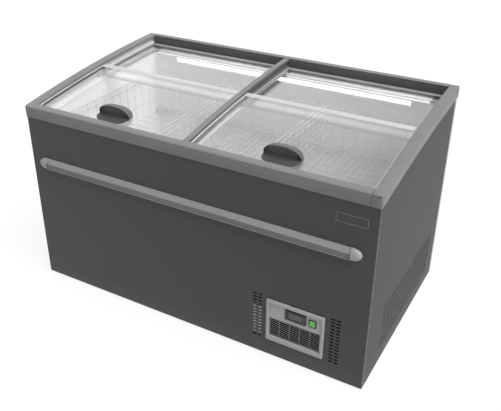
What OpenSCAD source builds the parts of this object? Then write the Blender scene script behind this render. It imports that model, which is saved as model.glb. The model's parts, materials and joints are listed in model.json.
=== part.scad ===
// Island chest freezer with a curved top, sliding glass lids, hanging wire baskets
// and a condensing unit in a bay at the lower right.
// Cabinet frame used inside the modules: X from the left side, Y from the front panel
// towards the back, Z up from the cabinet's lower edge. The finished part stands on Z = 0
// with its origin under the middle of its outline.

/* [Cabinet] */
// Width across the side panels
cab_w = 1455; // [1440:1:1470]
// Depth across the front and back panels
cab_d = 838; // [830:1:846]
// Height of the cabinet's lower edge above the floor
floor_gap = 12; // [8:1:16]
// Thickness of the outer steel sheets
sheet = 1; // [0.8:0.2:2]
// Thickness of the insulated walls, from the outer face to the tub
wall = 60; // [56:1:64]

/* [Curved top] */
// Radius of the curved top
track_r = 6400; // [6200:50:6600]
// Height of the rim at the front
front_top = 776; // [770:1:782]
// How far behind the front panel the curve is level
crest_y = 1033; // [1000:1:1060]
// How far the rim stands out over the panels
rim_lip = 3; // [2:0.5:4]
// Width of the side rails
rail_w = 36; // [36:1:38]
// Width of the front and back rims
rim_w = 31; // [28:1:31]
// Height of the rim's outer face
rim_h = 43; // [40:1:45]
// Width of the bar between the two pairs of lids
divider_w = 24; // [22:1:26]

/* [Lids] */
// Thickness of the glass
glass_t = 5; // [4:1:5]
// Depth of each front lid
front_lid_d = 425; // [415:1:430]
// Depth of each rear lid
rear_lid_d = 412; // [400:1:412]
// Width of a lid handle
handle_w = 143; // [130:1:150]
// Height of a lid handle
handle_h = 42; // [36:1:44]

/* [Tub and baskets] */
// Height of the tub's floor
floor_z = 118; // [116:1:140]
// Height of the raised floor over the machine bay
step_z = 326; // [322:1:340]
// Where the raised floor begins, from the left side
step_x = 870; // [850:1:880]
// Width of one basket
basket_w = 424; // [410:1:426]
// Underside of the baskets
basket_z = 520; // [500:1:530]
// Height of the baskets
basket_h = 192; // [180:1:194]

/* [Front details] */
// Middle of the bumper bar above the lower edge
bumper_z = 546; // [540:0.5:552]
// Height of the bumper bar
bumper_h = 43; // [40:1:48]
// How far the bumper bar stands out
bumper_out = 16; // [14:1:20]
// Left edge of the control bezel
bezel_x = 1075; // [1070:1:1080]
// Lower edge of the control bezel
bezel_z = 72; // [68:1:76]
// Number of rows in the front vents
vent_rows = 14; // [12:1:15]

/* [Rollers] */
// Radius of a roller wheel
wheel_r = 27; // [25:1:28]
// Width of a roller wheel
wheel_w = 24; // [20:1:26]

/* [Hidden] */

// Colours
panel_grey = [0.25, 0.25, 0.26];
side_grey = [0.36, 0.36, 0.37];
rim_grey = [0.42, 0.42, 0.43];
pale_grey = [0.72, 0.72, 0.72];
white = [0.93, 0.93, 0.93];
steel = [0.66, 0.67, 0.69];
dark = [0.1, 0.1, 0.11];
copper = [0.72, 0.42, 0.26];
glass = [0.85, 0.92, 0.92, 0.3];

// Overall placing
front_y = (bumper_out - cab_d - rim_lip) / 2;
eps = 0.01;

// The curve is drawn as straight chords between fixed stations, the same for every piece
chord = (cab_d + 2 * rim_lip) / 20;
crest_z = front_top - sqrt(pow(track_r, 2) - pow(crest_y + rim_lip, 2));

// Depths under the curved top, square to it
rail_skin = 3;
upper_slot = [12, 30];
lower_slot = [37, 54];
ledge_drop = 57;
ledge_t = 3;
foam_drop = ledge_drop + ledge_t;
upper_strip = [13.5, 29.5];
lower_strip = [38, 53.5];
upper_glass = 16;
lower_glass = 41;
slot_depth = 8;
slot_back = 3;

// Inner faces of the rims and the bays for the lids
front_stop = rim_w - rim_lip;
back_stop = cab_d + rim_lip - rim_w + 4;
lid_play = 2;
divider_x = (cab_w - divider_w) / 2;
rail_in = rail_w - rim_lip;
left_bay = [rail_in, divider_x];
right_bay = [divider_x + divider_w, cab_w - rail_in];
strip_in = 6;
strip_w = 8;
front_lid_y = front_stop + lid_play;
rear_lid_y = back_stop - lid_play - rear_lid_d;

// Tub
tub_x = [wall, cab_w - wall];
tub_y = [wall, cab_d - wall - 2];
liner_t = 1;
tray_z = 56;
bay_x = step_x + wall;
bay_top = step_z - wall - sheet;
basket_y = [tub_y[0] + 16, tub_y[1] - 16];
basket_gap = (tub_x[1] - tub_x[0] - 3 * basket_w) / 4;
wire = 4;
shelf_d = 24;
shelf_t = 8;
coil_pitch = 56;
coil_side = 8;

// Front openings
bezel_size = [227, 183];
bezel_open = [1088, 95, 201, 145];
bezel_out = 8;
plate_t = 2;
grille_h = 81;
panel_cut = [1092, 99, 193, 137];
stat = [1150, 192, 83, 44];
rocker = [1242, 196, 30, 32];
rocker_hole = [22.4, 26.4];
button_x = 1225;
button_zs = [204, 214, 224];
vent_slot = [17, 6.5];
vent_cols = [1018, 1039, 1322, 1343];
front_vent_z = [70, 263];
side_vent_z = [60, 248];
side_vent_y = [165, 745];
side_slot = [36, 6];
led_x = [193, 1306];
led_z = [772, 790];
led_d = 18;
diffuser_d = 6;
badge = [1311, 650, 110, 34];

// Condensing unit
fan_x = 1190;
fan_z = 156;
fan_r = 88;
shaft_r = 4;
pump_x = 1185;
pump_y = 500;
pump_r = 82;

// Rollers
roller_xs = [95, cab_w - 95];
roller_ys = [90, cab_d - 90];
axle_r = 4;
axle_z = wheel_r - floor_gap;
bracket_l = 74;

// Height of the curve at y, drop under the top, exact and then along the chords
function curve(y, drop) = crest_z + sqrt(pow(track_r - drop, 2) - pow(y - crest_y, 2));
function station(k) = -rim_lip + k * chord;
function top_z(y, drop) =
  let (k = min(19, max(0, floor((y + rim_lip) / chord))))
  let (a = station(k), b = station(k + 1))
  curve(a, drop) + (curve(b, drop) - curve(a, drop)) * (y - a) / (b - a);
function curve_pts(y0, y1, drop) = concat(
  [[y0, top_z(y0, drop)]],
  [for (k = [0:20]) if (station(k) > y0 + eps && station(k) < y1 - eps)
    [station(k), curve(station(k), drop)]],
  [[y1, top_z(y1, drop)]]
);
function reversed(p) = [for (i = [len(p) - 1:-1:0]) p[i]];
function slope(y) = asin((crest_y - y) / track_r);

// Moves from the cabinet frame to the part's own frame
module placed() {
  translate([-cab_w / 2, front_y, floor_gap]) children();
}

// Draws a (Y, Z) outline and gives it a width along X
module across(x0, x1) {
  translate([x0, 0, 0]) rotate([90, 0, 90]) linear_extrude(x1 - x0) children();
}

// Draws an (X, Z) outline and gives it a depth along Y
module front_plate(y0, y1) {
  translate([0, y1, 0]) rotate([90, 0, 0]) linear_extrude(y1 - y0) children();
}

// A layer between two depths under the curve
module band(xs, ys, drops) {
  across(xs[0], xs[1])
    polygon(concat(curve_pts(ys[0], ys[1], drops[1]), reversed(curve_pts(ys[0], ys[1], drops[0]))));
}

// A block with a curved top and a level underside
module curved_block(xs, ys, drop, z0) {
  across(xs[0], xs[1])
    polygon(concat([[ys[1], z0], [ys[0], z0]], curve_pts(ys[0], ys[1], drop)));
}

module box(x, y, z) {
  translate([x[0], y[0], z[0]]) cube([x[1] - x[0], y[1] - y[0], z[1] - z[0]]);
}

// A rectangle given as [left, bottom, width, height]
module rect(r, grow = 0) {
  translate([r[0] - grow, r[1] - grow]) square([r[2] + 2 * grow, r[3] + 2 * grow]);
}

module rod(from, to, r, fn = 24) {
  v = to - from;
  length = norm(v);
  translate(from) rotate([0, acos(v[2] / length), atan2(v[1], v[0])])
    cylinder(h = length, r = r, $fn = fn);
}

// ---------------------------------------------------------------- cabinet

module base_tray() {
  color(steel) placed() {
    box([sheet, cab_w - sheet], [sheet, cab_d - sheet], [tray_z, tray_z + sheet]);
    for (x = [380, 720, 1060])
      box([x - 20, x + 20], [40, cab_d - 40], [tray_z - 22, tray_z]);
  }
}

module vent_outline(cols, slot, z, rows) {
  pitch = (z[1] - z[0] - slot[1]) / (rows - 1);
  for (x = cols, row = [0:rows - 1])
    translate([x, z[0] + row * pitch]) square(slot);
}

module front_panel() {
  color(panel_grey) placed() front_plate(0, sheet) difference() {
    square([cab_w, top_z(0, 20)]);
    rect(panel_cut);
    vent_outline(vent_cols, vent_slot, front_vent_z, vent_rows);
  }
}

module side_outline() {
  polygon(concat([[cab_d - sheet, 0], [sheet, 0]], curve_pts(sheet, cab_d - sheet, 20)));
}

module left_side_panel() {
  color(side_grey) placed() across(0, sheet) side_outline();
}

module right_side_panel() {
  cols = floor((side_vent_y[1] - side_vent_y[0]) / (side_slot[0] + 8));
  color(side_grey) placed() across(cab_w - sheet, cab_w) difference() {
    side_outline();
    vent_outline([for (i = [0:cols - 1]) side_vent_y[0] + i * (side_slot[0] + 8)], side_slot,
      side_vent_z, 13);
  }
}

module back_panel() {
  color(steel) placed() front_plate(cab_d - sheet, cab_d) difference() {
    square([cab_w, top_z(cab_d, 20)]);
    vent_outline([for (i = [0:7]) 980 + i * (side_slot[0] + 12)], side_slot, side_vent_z, 13);
    translate([1405, 110]) circle(r = 9, $fn = 48);
  }
}

module bay_cover() {
  color(steel) placed() front_plate(sheet, cab_d - sheet) difference() {
    rect([bay_x - sheet, tray_z + sheet, cab_w - sheet - bay_x + sheet, bay_top - tray_z]);
    rect([bay_x, tray_z + sheet - 1, cab_w, bay_top - tray_z - sheet + 1]);
  }
}

// The space inside the tub, grown outwards by the given thickness
module tub_space(grow, drop) {
  difference() {
    curved_block([tub_x[0] - grow, tub_x[1] + grow], [tub_y[0] - grow, tub_y[1] + grow],
      drop, floor_z - grow);
    box([step_x + grow, cab_w], [0, cab_d], [0, step_z - grow]);
  }
}

module coil_ring(grow) {
  inside = liner_t;
  outside = liner_t + coil_side + grow;
  difference() {
    square([tub_x[1] - tub_x[0] + 2 * outside, tub_y[1] - tub_y[0] + 2 * outside]);
    translate([outside - inside, outside - inside])
      square([tub_x[1] - tub_x[0] + 2 * inside, tub_y[1] - tub_y[0] + 2 * inside]);
  }
}

module coil(grow) {
  side = coil_side + grow;
  for (i = [0:4])
    translate([tub_x[0] - liner_t - side, tub_y[0] - liner_t - side, 380 + i * coil_pitch - grow / 2])
      linear_extrude(coil_side + grow) coil_ring(grow);
  box([200 - grow / 2, 200 + side - grow / 2], [tub_y[0] - liner_t - side, tub_y[0] - liner_t],
    [380, 380 + 4 * coil_pitch + coil_side]);
}

module foam_insulation() {
  color([0.95, 0.9, 0.7]) placed() difference() {
    curved_block([sheet, cab_w - sheet], [sheet, cab_d - sheet], foam_drop, tray_z + sheet);
    tub_space(liner_t, foam_drop - 10);
    box([bay_x - sheet, cab_w], [0, cab_d], [0, bay_top + sheet]);
    coil(0.2);
  }
}

module inner_liner() {
  shelf_z = basket_z - shelf_t;
  color(white) placed() {
    difference() {
      tub_space(liner_t, foam_drop);
      tub_space(0, foam_drop - 10);
    }
    for (y = [tub_y[0], tub_y[1] - shelf_d])
      box(tub_x, [y, y + shelf_d], [shelf_z, basket_z]);
  }
}

module evaporator_tube() {
  color(copper) placed() coil(0);
}

module top_ledge() {
  color(pale_grey) placed() difference() {
    band([sheet, cab_w - sheet], [sheet, cab_d - sheet], [ledge_drop, foam_drop]);
    box(tub_x, tub_y, [600, 900]);
  }
}

// ---------------------------------------------------------------- rims

module cross_rim(ys, outer) {
  xs = [rail_in, cab_w - rail_in];
  inner = outer[0] > cab_d / 2 ? [ys[0], ys[0] + rail_skin] : [ys[1] - rail_skin, ys[1]];
  band(xs, ys, [0, rail_skin]);
  band(xs, outer, [rail_skin, rim_h]);
  band(xs, inner, [rail_skin, ledge_drop]);
}

module rim_front() {
  color(rim_grey) placed() cross_rim([-rim_lip, front_stop], [-rim_lip, 0]);
}

module rim_back() {
  color(rim_grey) placed() cross_rim([back_stop, cab_d + rim_lip], [cab_d, cab_d + rim_lip]);
}

// Section of a side rail's inner walls: [from, to] from the outer face, then [from, to]
// under the top
rail_back = rail_w - slot_depth - slot_back;
// walls reach this far into each other where they join
weld = 1;
rail_walls = [
  [[rail_w - rail_skin, rail_w], [rail_skin - weld, upper_slot[0] - 3 + weld]],
  [[rail_back, rail_w], [upper_slot[0] - 3, upper_slot[0]]],
  [[rail_back, rail_w], [upper_slot[1], lower_slot[0]]],
  [[rail_back, rail_w], [lower_slot[1], ledge_drop]],
  [[rail_back, rail_back + slot_back], [upper_slot[0] - weld, ledge_drop]]
];

module side_rail() {
  whole = [-rim_lip, cab_d + rim_lip];
  inside = [sheet, cab_d - sheet];
  under = rail_skin - weld;
  band([-rim_lip, rail_in], whole, [0, rail_skin]);
  band([-rim_lip, 0], whole, [under, rim_h]);
  for (w = rail_walls)
    band([w[0][0] - rim_lip, w[0][1] - rim_lip], inside, w[1]);
  // closed ends, and blocks that stop the lids
  for (ys = [[-rim_lip, 0], [cab_d, cab_d + rim_lip]])
    band([-weld, rail_in], ys, [under, rim_h]);
  for (ys = [[sheet, front_stop], [back_stop, cab_d - sheet]])
    band([rail_back - rim_lip, rail_in], ys, [under, ledge_drop]);
}

module rim_left() {
  color(rim_grey) placed() side_rail();
}

module rim_right() {
  color(rim_grey) placed() translate([cab_w, 0, 0]) mirror([1, 0, 0]) side_rail();
}

module centre_divider() {
  xs = [divider_x, divider_x + divider_w];
  web = [divider_x + slot_depth, divider_x + divider_w - slot_depth];
  ys = [front_stop, back_stop];
  color(rim_grey) placed() {
    band(xs, ys, [2, upper_slot[0]]);
    band(xs, ys, [upper_slot[1], lower_slot[0]]);
    band(xs, ys, [lower_slot[1], ledge_drop]);
    band(web, ys, [2, ledge_drop]);
  }
}

// ---------------------------------------------------------------- lids

function lid_x(bay) = [bay[0] - strip_in, bay[1] + strip_in];
function pane_x(bay) = [bay[0] - strip_in + strip_w, bay[1] + strip_in - strip_w];

// Four bars round a pane: side strips that run in the slots, a front bar and a back bar
module lid_frame(bay, y0, depth, strip, front_bar, back_bar) {
  xs = lid_x(bay);
  y1 = y0 + depth;
  for (x = [xs[0], xs[1] - strip_w])
    band([x, x + strip_w], [y0, y1], strip);
  band([xs[0] + strip_w, xs[1] - strip_w], [y0, y0 + front_bar], strip);
  band([xs[0] + strip_w, xs[1] - strip_w], [y1 - back_bar, y1], strip);
}

module pane(bay, y0, y1, drop) {
  band(pane_x(bay), [y0, y1], [drop, drop + glass_t]);
}

front_bars = [9, 28];
rear_bars = [14, 12];

module front_glass(bay) {
  color(glass) placed()
    pane(bay, front_lid_y + front_bars[0], front_lid_y + front_lid_d - front_bars[1], upper_glass);
}

module front_lid_frame(bay) {
  color(white) placed()
    lid_frame(bay, front_lid_y, front_lid_d, upper_strip, front_bars[0], front_bars[1]);
}

module rear_glass(bay) {
  color(glass) placed()
    pane(bay, rear_lid_y + rear_bars[0], rear_lid_y + rear_lid_d - rear_bars[1], lower_glass);
}

module rear_lid_frame(bay) {
  color(pale_grey) placed()
    lid_frame(bay, rear_lid_y, rear_lid_d, lower_strip, rear_bars[0], rear_bars[1]);
}

// Half an ellipse that stands on the X axis
module half_ellipse(half_w, height) {
  polygon([for (a = [0:6:180]) [half_w * cos(a), height * sin(a)]]);
}

// A hood open to the front: a quarter turn of a half ellipse about its mouth's lower edge
module handle_hood(half_w, height) {
  rotate([0, 90, 0]) rotate([0, 0, 90]) rotate_extrude(angle = 90, $fn = 128)
    rotate([0, 0, -90]) half_ellipse(half_w, height);
}

handle_y = 92;
handle_wall = 3;
handle_base = 2;
handle_offset = -8;

module lid_handle(bay) {
  x = (bay[0] + bay[1]) / 2 + handle_offset;
  color(dark) placed()
    translate([x, handle_y, top_z(handle_y, upper_glass) + 0.1])
    rotate([slope(handle_y + 20), 0, 0]) {
      difference() {
        handle_hood(handle_w / 2, handle_h);
        translate([0, -handle_wall, -handle_wall])
          handle_hood(handle_w / 2 - handle_wall, handle_h);
      }
      linear_extrude(handle_base) half_ellipse(handle_w / 2, handle_h);
    }
}

module front_glass_left() { front_glass(left_bay); }
module front_glass_right() { front_glass(right_bay); }
module front_lid_frame_left() { front_lid_frame(left_bay); }
module front_lid_frame_right() { front_lid_frame(right_bay); }
module lid_handle_left() { lid_handle(left_bay); }
module lid_handle_right() { lid_handle(right_bay); }
module rear_glass_left() { rear_glass(left_bay); }
module rear_glass_right() { rear_glass(right_bay); }
module rear_lid_frame_left() { rear_lid_frame(left_bay); }
module rear_lid_frame_right() { rear_lid_frame(right_bay); }

// ---------------------------------------------------------------- inside the tub

module led_housing() {
  color(steel) placed() box(led_x, [tub_y[1] - led_d, tub_y[1]], led_z);
}

module led_diffuser() {
  color(white) placed()
    box([led_x[0] + 8, led_x[1] - 8], [tub_y[1] - led_d - diffuser_d, tub_y[1] - led_d],
      [led_z[0] + 1, led_z[1] - 1]);
}

// A flat grid of wires: cells across and cells up
module grid(w, h, across_n, up_n) {
  cell_w = (w - wire) / across_n;
  cell_h = (h - wire) / up_n;
  difference() {
    square([w, h]);
    for (i = [0:across_n - 1], j = [0:up_n - 1])
      translate([wire + i * cell_w, wire + j * cell_h]) square([cell_w - wire, cell_h - wire]);
  }
}

module wire_basket(index) {
  x = tub_x[0] + basket_gap + index * (basket_w + basket_gap);
  depth = basket_y[1] - basket_y[0];
  color(white) placed() translate([x, basket_y[0], basket_z]) {
    linear_extrude(wire) grid(basket_w, depth, 16, 6);
    for (y = [wire, depth])
      translate([0, y, 0]) rotate([90, 0, 0]) linear_extrude(wire) grid(basket_w, basket_h, 8, 3);
    for (px = [0, basket_w - wire])
      translate([px, 0, 0]) rotate([90, 0, 90]) linear_extrude(wire) grid(depth, basket_h, 12, 3);
  }
}

module basket_left() { wire_basket(0); }
module basket_middle() { wire_basket(1); }
module basket_right() { wire_basket(2); }

// ---------------------------------------------------------------- front trim

// Half section of the bumper from the panel outwards, as (Y, Z) about its middle
module bumper_outline(grow = 0) {
  h = bumper_h / 2 + grow;
  out = bumper_out + grow;
  polygon([[0, h], [-out * 0.5, h], [-out * 0.85, h * 0.8], [-out, h * 0.42],
    [-out, -h * 0.42], [-out * 0.85, -h * 0.8], [-out * 0.5, -h], [0, -h]]);
}

bumper_x = [80, 1375];
bumper_ends = [43.5, 1411.5];

module bumper_bar() {
  color(pale_grey) placed() translate([0, 0, bumper_z]) difference() {
    across(bumper_x[0], bumper_x[1]) bumper_outline();
    across(bumper_x[0] - 1, bumper_x[1] + 1) translate([1, 0]) bumper_outline(-3);
  }
}

module bumper_caps() {
  color(white) placed() translate([0, 0, bumper_z]) {
    across(bumper_ends[0], bumper_x[0]) bumper_outline();
    across(bumper_x[1], bumper_ends[1]) bumper_outline();
  }
}

module nameplate() {
  color(dark) placed() front_plate(-1.5, 0) rect(badge);
}

module control_bezel() {
  color(pale_grey) placed() front_plate(-bezel_out, 0) difference() {
    rect([bezel_x, bezel_z, bezel_size[0], bezel_size[1]]);
    rect(bezel_open);
  }
}

module control_plate() {
  top = bezel_open[1] + grille_h;
  color(white) placed() front_plate(-plate_t, 0) difference() {
    rect([bezel_open[0], top, bezel_open[2], bezel_open[3] - grille_h]);
    rect(stat, -4);
    rect(rocker, -1.5);
  }
}

module thermostat_body() {
  color(dark) placed() difference() {
    union() {
      front_plate(-6, -plate_t) rect(stat);
      front_plate(-plate_t, 50) rect(stat, -4.2);
    }
    front_plate(-7, -4) rect([stat[0] + 15, stat[1] + 10, 52, 24]);
    for (z = button_zs)
      translate([button_x, -1, z]) rotate([90, 0, 0]) cylinder(h = 6, r = 3.1, $fn = 32);
  }
}

module thermostat_window() {
  color([0.3, 0.32, 0.32]) placed()
    front_plate(-5.6, -4) rect([stat[0] + 15, stat[1] + 10, 52, 24]);
}

module stat_button(z) {
  color(pale_grey) placed()
    translate([button_x, -1.6, z]) rotate([90, 0, 0]) cylinder(h = 5.2, r = 2.8, $fn = 32);
}

module button_set() { stat_button(button_zs[0]); }
module button_down() { stat_button(button_zs[1]); }
module button_up() { stat_button(button_zs[2]); }

rocker_cx = rocker[0] + rocker[2] / 2;
rocker_cz = rocker[1] + rocker[3] / 2;
rocker_pivot_y = 3;
rocker_r = 12.6;

module rocker_frame() {
  hole = [rocker_cx - rocker_hole[0] / 2, rocker_cz - rocker_hole[1] / 2, rocker_hole[0], rocker_hole[1]];
  color(dark) placed() {
    front_plate(-5, -plate_t) difference() {
      rect(rocker);
      rect(hole);
    }
    front_plate(-plate_t, 20) difference() {
      rect(rocker, -1.7);
      rect(hole);
    }
    front_plate(20, 22) rect(rocker, -1.7);
  }
}

// Rocker drawn about its pivot, tipped with its upper half pressed in
module power_rocker() {
  color([0.2, 0.75, 0.25]) placed() translate([rocker_cx, rocker_pivot_y, rocker_cz])
    rotate([-10, 0, 0]) intersection() {
      rotate([0, 90, 0]) cylinder(h = rocker_hole[0] - 0.8, r = rocker_r, center = true, $fn = 96);
      across(-rocker_hole[0] / 2, rocker_hole[0] / 2)
        polygon([[-8.5, 0], [-10.7, rocker_r + 1], [6, rocker_r + 1], [6, -rocker_r - 1],
          [-10.7, -rocker_r - 1]]);
    }
}

module louvre_grille() {
  w = bezel_open[2];
  pitch = 10.3;
  bar = 2.8;
  color(dark) placed() front_plate(-plate_t, 0)
    translate([bezel_open[0], bezel_open[1]]) {
      difference() {
        square([w, grille_h]);
        translate([4, 4]) square([w - 8, grille_h - 8]);
      }
      intersection() {
        square([w, grille_h]);
        for (i = [-8:19]) translate([i * pitch, 0]) rotate([0, 0, 45]) square([120, bar]);
      }
      for (i = [1:4]) translate([i * w / 5 - 1.5, 0]) square([3, grille_h]);
    }
}

// ---------------------------------------------------------------- condensing unit

module compressor_shell() {
  h = 150;
  color(dark) placed() translate([pump_x, pump_y, 78]) rotate_extrude($fn = 96)
    polygon(concat(
      [[0, 0], [pump_r - 22, 0]],
      [for (a = [-80:20:0]) [pump_r - 22 + 22 * cos(a), 22 + 22 * sin(a)]],
      [[pump_r, 78], [pump_r + 4, 78], [pump_r + 4, 86], [pump_r - 2, 86]],
      [for (a = [0:15:90]) [(pump_r - 2) * cos(a), 86 + (h - 86) * sin(a)]]
    ));
}

module compressor_plate() {
  color(steel) placed() difference() {
    box([pump_x - 115, pump_x + 115], [pump_y - 85, pump_y + 85], [74, 78]);
    for (x = [-100, 100], y = [-70, 70])
      translate([pump_x + x, pump_y + y, 70]) cylinder(h = 12, r = 8, $fn = 32);
  }
}

// Rubber feet with a waist that the plate sits in
module compressor_mounts() {
  color(dark) placed() for (x = [-100, 100], y = [-70, 70])
    translate([pump_x + x, pump_y + y, tray_z + sheet]) rotate_extrude($fn = 32)
      polygon([[0, 0], [13, 0], [13, 17], [8, 17], [8, 21], [12, 21], [12, 26], [0, 26]]);
}

module terminal_box() {
  color(dark) placed()
    box([pump_x + pump_r + 4.2, pump_x + pump_r + 40], [pump_y - 30, pump_y + 30], [110, 190]);
}

coil_x = [1082, 1298];
coil_y = [92, 132];
coil_z = [62, 250];

module condenser_coil() {
  fins = 15;
  fin_t = 1.2;
  pitch = (coil_x[1] - coil_x[0] - fin_t) / (fins - 1);
  color(steel) placed() {
    for (i = [0:fins - 1])
      box([coil_x[0] + i * pitch, coil_x[0] + i * pitch + fin_t], coil_y, coil_z);
    for (i = [0:5], y = [102, 122])
      rod([coil_x[0] - 8, y, 78 + i * 31], [coil_x[1] + 8, y, 78 + i * 31], 4);
  }
}

module fan_shroud() {
  color(steel) placed() front_plate(134, 152) difference() {
    rect([coil_x[0], coil_z[0], coil_x[1] - coil_x[0], coil_z[1] - coil_z[0]]);
    translate([fan_x, fan_z]) circle(r = fan_r + 3, $fn = 128);
  }
}

module fan_motor() {
  color(dark) placed() {
    translate([fan_x, 225, fan_z]) rotate([90, 0, 0]) {
      cylinder(h = 55, r = 34, $fn = 64);
      cylinder(h = 74, r = shaft_r, $fn = 48);
    }
    for (a = [45, 135, 225, 315])
      translate([fan_x, 0, fan_z]) rotate([0, a, 0]) {
        box([30, 100], [190, 194], [-7, 7]);
        box([96, 100], [152, 194], [-7, 7]);
      }
  }
}

module fan_blade() {
  color(steel) placed() translate([fan_x, 0, fan_z]) {
    translate([0, 168, 0]) rotate([90, 0, 0]) difference() {
      cylinder(h = 26, r = 24, $fn = 64);
      translate([0, 0, -1]) cylinder(h = 21, r = shaft_r + 0.05, $fn = 48);
    }
    for (i = [0:4])
      rotate([0, i * 72, 0]) translate([20, 155, 0]) rotate([28, 0, 0])
        translate([0, -1, -24]) cube([60, 2, 48]);
  }
}

module filter_drier() {
  color(copper) placed() translate([1392, 330, 90]) {
    cylinder(h = 100, r = 11, $fn = 48);
    translate([0, 0, 100]) cylinder(h = 10, r1 = 11, r2 = 4, $fn = 48);
  }
}

// Pipe runs as straight rods with ball corners
module pipe_run(points, r) {
  for (i = [0:len(points) - 2]) rod(points[i], points[i + 1], r);
  for (i = [1:len(points) - 2]) translate(points[i]) sphere(r = r, $fn = 24);
}

module copper_pipes() {
  color(copper) placed() {
    pipe_run([[1308, 300, 100], [1308, 300, 222], [1392, 300, 222], [1392, 330, 222], [1392, 330, 200.2]], 3);
    pipe_run([[pump_x, pump_y - 60, 216], [pump_x, pump_y - 120, 216], [pump_x, 300, 216],
      [1308, 300, 216]], 4);
  }
}

module cable_gland() {
  color(dark) placed() translate([1405, cab_d - sheet - 10, 110]) rotate([-90, 0, 0])
    difference() {
      union() {
        cylinder(h = 10, r = 14, $fn = 48);
        cylinder(h = 10 + sheet, r = 9, $fn = 48);
      }
      translate([0, 0, -1]) cylinder(h = 20, r = 4, $fn = 48);
    }
}

// ---------------------------------------------------------------- rollers

module roller_bracket() {
  cheek = wheel_w / 2 + 3;
  top = tray_z;
  for (x = [-cheek - 3, cheek])
    difference() {
      across(x, x + 3) polygon([[-26, top - 4], [26, top - 4], [12, axle_z - 10], [-12, axle_z - 10]]);
      translate([x - 1, 0, axle_z]) rotate([0, 90, 0]) cylinder(h = 5, r = axle_r, $fn = 48);
    }
  box([-cheek - 12, cheek + 12], [-bracket_l / 2, bracket_l / 2], [top - 4, top]);
}

module each_roller() {
  for (x = roller_xs, y = roller_ys) translate([x, y, 0]) children();
}

module roller_brackets() {
  color(steel) placed() each_roller() roller_bracket();
}

module roller_axles() {
  half = wheel_w / 2 + 8;
  color(steel) placed() each_roller()
    translate([-half, 0, axle_z]) rotate([0, 90, 0]) cylinder(h = 2 * half, r = axle_r, $fn = 48);
}

module roller_wheel(x, y) {
  color(dark) placed() translate([x, y, axle_z]) rotate([0, 90, 0]) difference() {
    rotate_extrude($fn = 96) polygon([[0, -wheel_w / 2 - 2], [8, -wheel_w / 2 - 2], [8, -wheel_w / 2],
      [wheel_r - 2, -wheel_w / 2], [wheel_r, -wheel_w / 2 + 2], [wheel_r, wheel_w / 2 - 2],
      [wheel_r - 2, wheel_w / 2], [8, wheel_w / 2], [8, wheel_w / 2 + 2], [0, wheel_w / 2 + 2]]);
    cylinder(h = wheel_w + 10, r = axle_r + 0.05, center = true, $fn = 48);
  }
}

module roller_wheel_1() { roller_wheel(roller_xs[0], roller_ys[0]); }
module roller_wheel_2() { roller_wheel(roller_xs[1], roller_ys[0]); }
module roller_wheel_3() { roller_wheel(roller_xs[0], roller_ys[1]); }
module roller_wheel_4() { roller_wheel(roller_xs[1], roller_ys[1]); }

base_tray();
front_panel();
left_side_panel();
right_side_panel();
back_panel();
bay_cover();
foam_insulation();
inner_liner();
evaporator_tube();
top_ledge();
rim_front();
rim_back();
rim_left();
rim_right();
centre_divider();
front_glass_left();
front_glass_right();
front_lid_frame_left();
front_lid_frame_right();
lid_handle_left();
lid_handle_right();
rear_glass_left();
rear_glass_right();
rear_lid_frame_left();
rear_lid_frame_right();
led_housing();
led_diffuser();
basket_left();
basket_middle();
basket_right();
bumper_bar();
bumper_caps();
nameplate();
control_bezel();
control_plate();
thermostat_body();
thermostat_window();
button_set();
button_up();
button_down();
rocker_frame();
power_rocker();
louvre_grille();
compressor_shell();
compressor_plate();
compressor_mounts();
terminal_box();
condenser_coil();
fan_shroud();
fan_motor();
fan_blade();
filter_drier();
copper_pipes();
cable_gland();
roller_brackets();
roller_axles();
roller_wheel_1();
roller_wheel_2();
roller_wheel_3();
roller_wheel_4();
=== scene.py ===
"""Island chest freezer with a curved top of sliding glass lids.

Shapes are drawn in millimetres in the cabinet's own frame: X from its left side, Y from its
front panel, Z from its lower edge. "Drop" is the depth under the curved top.
"""

import json
import math

import bmesh
import bpy
from mathutils import Matrix, Vector


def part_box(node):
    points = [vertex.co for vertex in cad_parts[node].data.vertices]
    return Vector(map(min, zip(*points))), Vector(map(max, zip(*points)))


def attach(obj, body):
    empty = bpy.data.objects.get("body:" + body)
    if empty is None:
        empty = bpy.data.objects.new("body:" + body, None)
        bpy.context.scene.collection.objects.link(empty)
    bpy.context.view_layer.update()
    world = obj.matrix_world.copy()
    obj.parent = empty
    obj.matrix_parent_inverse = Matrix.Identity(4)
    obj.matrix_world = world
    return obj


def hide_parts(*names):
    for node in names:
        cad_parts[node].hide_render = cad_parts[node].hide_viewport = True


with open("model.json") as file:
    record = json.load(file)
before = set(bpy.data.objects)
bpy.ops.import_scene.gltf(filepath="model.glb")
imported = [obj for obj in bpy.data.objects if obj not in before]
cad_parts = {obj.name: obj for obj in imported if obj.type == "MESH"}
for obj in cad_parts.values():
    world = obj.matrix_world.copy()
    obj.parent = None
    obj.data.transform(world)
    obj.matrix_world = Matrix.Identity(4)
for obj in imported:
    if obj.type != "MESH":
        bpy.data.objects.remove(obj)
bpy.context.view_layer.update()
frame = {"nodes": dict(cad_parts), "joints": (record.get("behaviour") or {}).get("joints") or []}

MM = 0.001
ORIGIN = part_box("front_panel")[0]
NODES = frame["nodes"]


# -------- sizes from the frame

def span(node):
    """((x0, x1), (y0, y1), (z0, z1)) of a CAD node in the cabinet's frame, in millimetres."""
    low, high = ((corner - ORIGIN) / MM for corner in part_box(node))
    return tuple(zip(low, high))


def joint_point(name):
    joint = next(j for j in frame["joints"] if j["name"] == name)
    return (Vector(joint["pos_m"]) - ORIGIN) / MM


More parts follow.
